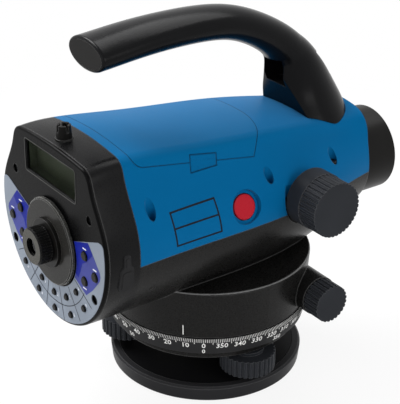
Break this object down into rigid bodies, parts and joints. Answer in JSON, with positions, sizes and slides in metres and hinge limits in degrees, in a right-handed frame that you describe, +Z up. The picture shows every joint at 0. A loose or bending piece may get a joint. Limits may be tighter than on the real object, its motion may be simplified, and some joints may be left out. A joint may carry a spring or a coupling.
{
  "type": "digital surveying level",
  "caption": "Digital surveying level: tapered two-part housing with keyboard end, carrying handle, focus and slow-motion knobs, graduated circle and levelling base for sighting a staff.",
  "frame": {"origin": "on the vertical axis, at the underside of the foot plate, in the mouth of the tripod thread", "axes": "+Z up along the vertical axis, +Y along the line of sight towards the objective, +X to the observer's right, where the focus knob is"},
  "size_m": [0.1397, 0.2293, 0.211],
  "materials": {
    "black_paint": "fine satin black paint",
    "black_plastic": "satin black",
    "knob_plastic": "satin black",
    "black_metal": "black anodised",
    "blue_plastic": "satin blue",
    "film": "metallic blue-grey print",
    "steel": "turned",
    "brass": "turned",
    "glass": "polished",
    "lcd": "dark olive display",
    "board": "green board",
    "red_plastic": "gloss red",
    "battery": "satin black"
  },
  "bodies": {
    "base": {"foot_plate": "black_paint", "spring_plate": "black_paint", "levelling_head": "black_paint"},
    "foot_1": {"foot_screw_1": "knob_plastic"},
    "foot_2": {"foot_screw_2": "knob_plastic"},
    "foot_3": {"foot_screw_3": "knob_plastic"},
    "circle": {"circle_ring": "black_paint"},
    "wheel": {"worm_wheel": "brass"},
    "alidade": {"spindle": "steel", "lower_casing": "black_paint", "upper_shell": "blue_plastic", "lid_pin": "steel", "battery_pack": "battery", "handle": "black_plastic", "handle_end_cap": "black_plastic", "front_panel": "black_plastic", "panel_screws": "steel", "lcd_window": "glass", "lcd_module": "lcd", "keypad_film": "film", "main_board": "board", "shell_screws": "steel", "telescope_tube": "black_metal", "objective_barrel": "black_metal", "objective_lens": "glass", "compensator": "black_metal", "beam_splitter": "glass", "sensor_board": "board", "eyepiece_tube": "black_metal", "eyepiece_lens": "glass", "eyepiece_disc": "black_plastic", "sight_post": "black_plastic", "circular_level": "black_plastic"},
    "slow_drive": {"tangent_worm": "steel", "tangent_knob_right": "black_plastic", "tangent_knob_left": "black_plastic"},
    "focus_drive": {"focus_knob": "black_plastic", "focus_pinion": "steel"},
    "focus_group": {"focus_cell": "black_metal", "focus_lens": "glass"},
    "dioptre": {"dioptre_ring": "black_plastic"},
    "lid": {"battery_lid": "blue_plastic"},
    "latch": {"lid_latch": "blue_plastic"},
    "button": {"measure_button": "red_plastic"},
    "key_fan_inner_1_body": {"key_fan_inner_1": "black_plastic"},
    "key_fan_inner_2_body": {"key_fan_inner_2": "black_plastic"},
    "key_fan_inner_3_body": {"key_fan_inner_3": "black_plastic"},
    "key_fan_inner_4_body": {"key_fan_inner_4": "black_plastic"},
    "key_fan_inner_5_body": {"key_fan_inner_5": "black_plastic"},
    "key_fan_outer_1_body": {"key_fan_outer_1": "black_plastic"},
    "key_fan_outer_2_body": {"key_fan_outer_2": "black_plastic"},
    "key_fan_outer_3_body": {"key_fan_outer_3": "black_plastic"},
    "key_fan_outer_4_body": {"key_fan_outer_4": "black_plastic"},
    "key_fan_outer_5_body": {"key_fan_outer_5": "black_plastic"},
    "key_side_right_1_body": {"key_side_right_1": "black_plastic"},
    "key_side_right_2_body": {"key_side_right_2": "black_plastic"},
    "key_side_right_3_body": {"key_side_right_3": "black_plastic"},
    "key_side_left_1_body": {"key_side_left_1": "black_plastic"},
    "key_side_left_2_body": {"key_side_left_2": "black_plastic"},
    "key_side_left_3_body": {"key_side_left_3": "black_plastic"}
  },
  "joints": [
    {"name": "foot_screw_1_turn", "type": "hinge", "parent": "base", "child": "foot_1", "pos_m": [0.04486, -0.00353, 0.02], "axis": [0, 0, 1], "range_deg": [-720, 720]},
    {"name": "foot_screw_2_turn", "type": "hinge", "parent": "base", "child": "foot_2", "pos_m": [-0.01937, 0.04062, 0.02], "axis": [0, 0, 1], "range_deg": [-720, 720]},
    {"name": "foot_screw_3_turn", "type": "hinge", "parent": "base", "child": "foot_3", "pos_m": [-0.02549, -0.03709, 0.02], "axis": [0, 0, 1], "range_deg": [-720, 720]},
    {"name": "circle_turn", "type": "hinge", "parent": "base", "child": "circle", "pos_m": [0, 0, 0.0372], "axis": [0, 0, 1], "continuous": true},
    {"name": "azimuth_clutch", "type": "hinge", "parent": "base", "child": "wheel", "pos_m": [0, 0, 0.0526], "axis": [0, 0, 1], "continuous": true},
    {"name": "azimuth_fine", "type": "hinge", "parent": "wheel", "child": "alidade", "pos_m": [0, 0, 0.063], "axis": [0, 0, 1], "continuous": true},
    {"name": "tangent_turn", "type": "hinge", "parent": "alidade", "child": "slow_drive", "pos_m": [0, 0.0345, 0.0526], "axis": [1, 0, 0], "continuous": true},
    {"name": "focus_turn", "type": "hinge", "parent": "alidade", "child": "focus_drive", "pos_m": [0.045, 0.0335, 0.1105], "axis": [1, 0, 0], "range_deg": [-270, 270]},
    {"name": "focus_slide", "type": "slide", "parent": "alidade", "child": "focus_group", "axis": [0, 1, 0], "range_m": [-0.01178, 0.01178]},
    {"name": "dioptre_turn", "type": "hinge", "parent": "alidade", "child": "dioptre", "pos_m": [0, -0.107, 0.1015], "axis": [0, 1, 0], "range_deg": [-150, 150]},
    {"name": "lid_hinge", "type": "hinge", "parent": "alidade", "child": "lid", "pos_m": [-0.0369, -0.03, 0.142], "axis": [-0.0454, -0.9844, 0.17], "range_deg": [0, 35]},
    {"name": "latch_press", "type": "slide", "parent": "lid", "child": "latch", "axis": [-1, 0, 0], "range_m": [0, 0.0015], "stiffness_N_per_m": 800, "springref_m": -0.0015},
    {"name": "button_press", "type": "slide", "parent": "alidade", "child": "button", "axis": [-0.9397, 0, -0.342], "range_m": [0, 0.001], "stiffness_N_per_m": 1000, "springref_m": -0.001},
    {"name": "key_fan_inner_1_press", "type": "slide", "parent": "alidade", "child": "key_fan_inner_1_body", "axis": [0, 1, 0], "range_m": [0, 0.0008], "stiffness_N_per_m": 1000, "springref_m": -0.001},
    {"name": "key_fan_inner_2_press", "type": "slide", "parent": "alidade", "child": "key_fan_inner_2_body", "axis": [0, 1, 0], "range_m": [0, 0.0008], "stiffness_N_per_m": 1000, "springref_m": -0.001},
    {"name": "key_fan_inner_3_press", "type": "slide", "parent": "alidade", "child": "key_fan_inner_3_body", "axis": [0, 1, 0], "range_m": [0, 0.0008], "stiffness_N_per_m": 1000, "springref_m": -0.001},
    {"name": "key_fan_inner_4_press", "type": "slide", "parent": "alidade", "child": "key_fan_inner_4_body", "axis": [0, 1, 0], "range_m": [0, 0.0008], "stiffness_N_per_m": 1000, "springref_m": -0.001},
    {"name": "key_fan_inner_5_press", "type": "slide", "parent": "alidade", "child": "key_fan_inner_5_body", "axis": [0, 1, 0], "range_m": [0, 0.0008], "stiffness_N_per_m": 1000, "springref_m": -0.001},
    {"name": "key_fan_outer_1_press", "type": "slide", "parent": "alidade", "child": "key_fan_outer_1_body", "axis": [0, 1, 0], "range_m": [0, 0.0008], "stiffness_N_per_m": 1000, "springref_m": -0.001},
    {"name": "key_fan_outer_2_press", "type": "slide", "parent": "alidade", "child": "key_fan_outer_2_body", "axis": [0, 1, 0], "range_m": [0, 0.0008], "stiffness_N_per_m": 1000, "springref_m": -0.001},
    {"name": "key_fan_outer_3_press", "type": "slide", "parent": "alidade", "child": "key_fan_outer_3_body", "axis": [0, 1, 0], "range_m": [0, 0.0008], "stiffness_N_per_m": 1000, "springref_m": -0.001},
    {"name": "key_fan_outer_4_press", "type": "slide", "parent": "alidade", "child": "key_fan_outer_4_body", "axis": [0, 1, 0], "range_m": [0, 0.0008], "stiffness_N_per_m": 1000, "springref_m": -0.001},
    {"name": "key_fan_outer_5_press", "type": "slide", "parent": "alidade", "child": "key_fan_outer_5_body", "axis": [0, 1, 0], "range_m": [0, 0.0008], "stiffness_N_per_m": 1000, "springref_m": -0.001},
    {"name": "key_side_right_1_press", "type": "slide", "parent": "alidade", "child": "key_side_right_1_body", "axis": [0, 1, 0], "range_m": [0, 0.0008], "stiffness_N_per_m": 1000, "springref_m": -0.001},
    {"name": "key_side_right_2_press", "type": "slide", "parent": "alidade", "child": "key_side_right_2_body", "axis": [0, 1, 0], "range_m": [0, 0.0008], "stiffness_N_per_m": 1000, "springref_m": -0.001},
    {"name": "key_side_right_3_press", "type": "slide", "parent": "alidade", "child": "key_side_right_3_body", "axis": [0, 1, 0], "range_m": [0, 0.0008], "stiffness_N_per_m": 1000, "springref_m": -0.001},
    {"name": "key_side_left_1_press", "type": "slide", "parent": "alidade", "child": "key_side_left_1_body", "axis": [0, 1, 0], "range_m": [0, 0.0008], "stiffness_N_per_m": 1000, "springref_m": -0.001},
    {"name": "key_side_left_2_press", "type": "slide", "parent": "alidade", "child": "key_side_left_2_body", "axis": [0, 1, 0], "range_m": [0, 0.0008], "stiffness_N_per_m": 1000, "springref_m": -0.001},
    {"name": "key_side_left_3_press", "type": "slide", "parent": "alidade", "child": "key_side_left_3_body", "axis": [0, 1, 0], "range_m": [0, 0.0008], "stiffness_N_per_m": 1000, "springref_m": -0.001}
  ],
  "couplings": [
    {"joint": "tangent_turn", "follows": "azimuth_fine", "ratio": -60},
    {"joint": "focus_turn", "follows": "focus_slide", "rad_per_m": 400}
  ]
}
